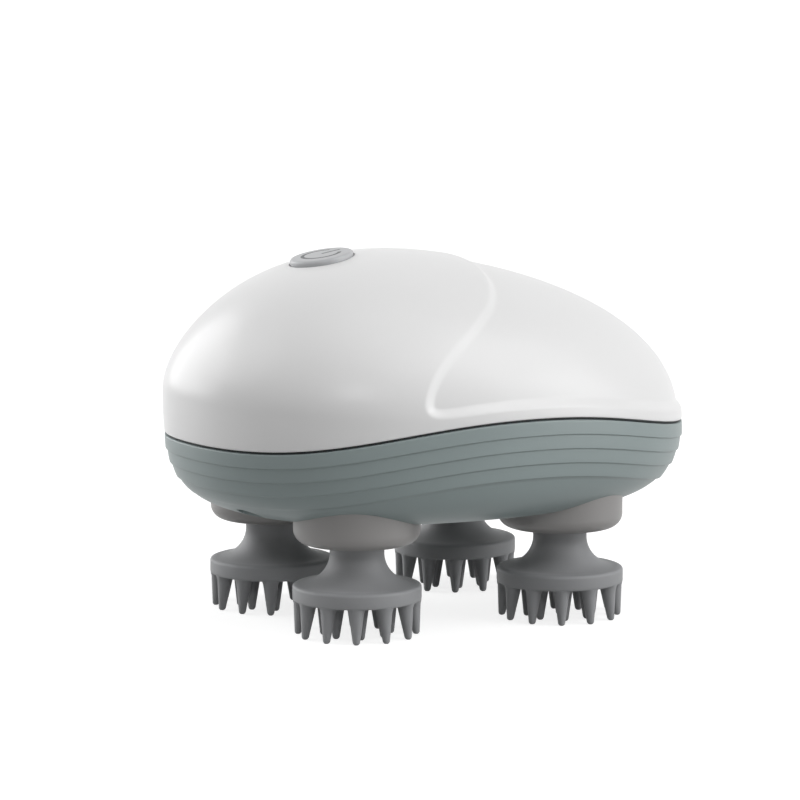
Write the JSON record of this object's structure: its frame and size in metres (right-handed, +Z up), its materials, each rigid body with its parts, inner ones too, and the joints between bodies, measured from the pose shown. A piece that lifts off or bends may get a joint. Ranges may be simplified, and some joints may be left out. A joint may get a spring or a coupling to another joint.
{
  "type": "electric scalp massager",
  "caption": "Egg-shaped hand-held scalp massager: a power button on the dome, a sunk grip panel, and driven silicone massage heads under the base.",
  "frame": {"origin": "middle of the finger tips' resting plane, under the middle of the housing's length and width", "axes": "+Z up, -X to the front with the power button, +X to the tail with the charging port, -Y the left side"},
  "size_m": [0.1241, 0.0926, 0.0842],
  "materials": {
    "upper_shell": "high gloss white",
    "lower_shell": "satin grey-green",
    "seam_gasket": "matt black",
    "collar": "satin warm grey",
    "bush": "sintered bronze",
    "seal": "matt black",
    "gear_cover": "natural",
    "gear_axle": "ground",
    "drive_gear": "natural acetal",
    "rotor_shaft": "ground",
    "worm": "natural acetal",
    "armature": "laminated core with copper coils",
    "motor_can": "zinc plated",
    "motor_magnets": "sintered ferrite",
    "motor_end_cap": "matt black",
    "motor_clamp": "zinc plated strip",
    "battery_cell": "shrink sleeve",
    "circuit_board": "solder resist",
    "tact_switch": "matt black",
    "switch_plunger": "satin",
    "power_button": "satin light grey",
    "button_gasket": "matt black",
    "charge_socket": "matt black",
    "port_cover": "silicone, matt",
    "screws": "zinc plated",
    "gear": "natural acetal",
    "spindle": "ground",
    "hub": "natural nylon",
    "head": "silicone, matt"
  },
  "bodies": {
    "housing": {"upper_shell": "upper_shell", "lower_shell": "lower_shell", "seam_gasket": "seam_gasket", "collar_front_left": "collar", "collar_front_right": "collar", "collar_rear_left": "collar", "collar_rear_right": "collar", "bush_front_left": "bush", "bush_front_right": "bush", "bush_rear_left": "bush", "bush_rear_right": "bush", "seal_front_left": "seal", "seal_front_right": "seal", "seal_rear_left": "seal", "seal_rear_right": "seal", "gear_cover": "gear_cover", "gear_axle": "gear_axle", "motor_can": "motor_can", "motor_magnets": "motor_magnets", "motor_end_cap": "motor_end_cap", "motor_clamp": "motor_clamp", "battery_cell": "battery_cell", "circuit_board": "circuit_board", "tact_switch": "tact_switch", "button_gasket": "button_gasket", "charge_socket": "charge_socket", "cover_screws": "screws", "shell_screws": "screws", "board_screws": "screws"},
    "port_cover": {"port_cover": "port_cover"},
    "power_button": {"power_button": "power_button", "switch_plunger": "switch_plunger"},
    "drive_gear": {"drive_gear": "drive_gear"},
    "rotor": {"rotor_shaft": "rotor_shaft", "worm": "worm", "armature": "armature"},
    "head_front_left": {"gear_front_left": "gear", "spindle_front_left": "spindle", "hub_front_left": "hub", "head_front_left": "head"},
    "head_front_right": {"gear_front_right": "gear", "spindle_front_right": "spindle", "hub_front_right": "hub", "head_front_right": "head"},
    "head_rear_left": {"gear_rear_left": "gear", "spindle_rear_left": "spindle", "hub_rear_left": "hub", "head_rear_left": "head"},
    "head_rear_right": {"gear_rear_right": "gear", "spindle_rear_right": "spindle", "hub_rear_right": "hub", "head_rear_right": "head"}
  },
  "joints": [
    {"name": "rotor_spin", "type": "hinge", "parent": "housing", "child": "rotor", "pos_m": [-0.0022, -0.018, 0.05326], "axis": [1, 0, 0], "continuous": true},
    {"name": "drive_gear_spin", "type": "hinge", "parent": "housing", "child": "drive_gear", "pos_m": [-0.0022, 0, 0.04326], "axis": [0, 0, 1], "continuous": true},
    {"name": "head_front_left_spin", "type": "hinge", "parent": "housing", "child": "head_front_left", "pos_m": [-0.0292, -0.02, 0.02], "axis": [0, 0, 1], "continuous": true},
    {"name": "head_front_right_spin", "type": "hinge", "parent": "housing", "child": "head_front_right", "pos_m": [-0.0292, 0.02, 0.02], "axis": [0, 0, 1], "continuous": true},
    {"name": "head_rear_left_spin", "type": "hinge", "parent": "housing", "child": "head_rear_left", "pos_m": [0.02181, -0.0235, 0.02], "axis": [0, 0, 1], "continuous": true},
    {"name": "head_rear_right_spin", "type": "hinge", "parent": "housing", "child": "head_rear_right", "pos_m": [0.02181, 0.0235, 0.02], "axis": [0, 0, 1], "continuous": true},
    {"name": "power_button_press", "type": "slide", "parent": "housing", "child": "power_button", "axis": [0.1736, 0, -0.9848], "range_m": [0, 0.0006], "stiffness_N_per_m": 400},
    {"name": "port_cover_hinge", "type": "hinge", "parent": "housing", "child": "port_cover", "pos_m": [0.0597, 0, 0.0339], "axis": [0, 1, 0], "range_deg": [0, 110]}
  ],
  "couplings": [
    {"joint": "drive_gear_spin", "follows": "rotor_spin", "ratio": -0.025},
    {"joint": "head_front_left_spin", "follows": "rotor_spin", "ratio": 0.036765},
    {"joint": "head_front_right_spin", "follows": "rotor_spin", "ratio": 0.036765},
    {"joint": "head_rear_left_spin", "follows": "rotor_spin", "ratio": 0.036765},
    {"joint": "head_rear_right_spin", "follows": "rotor_spin", "ratio": 0.036765}
  ]
}
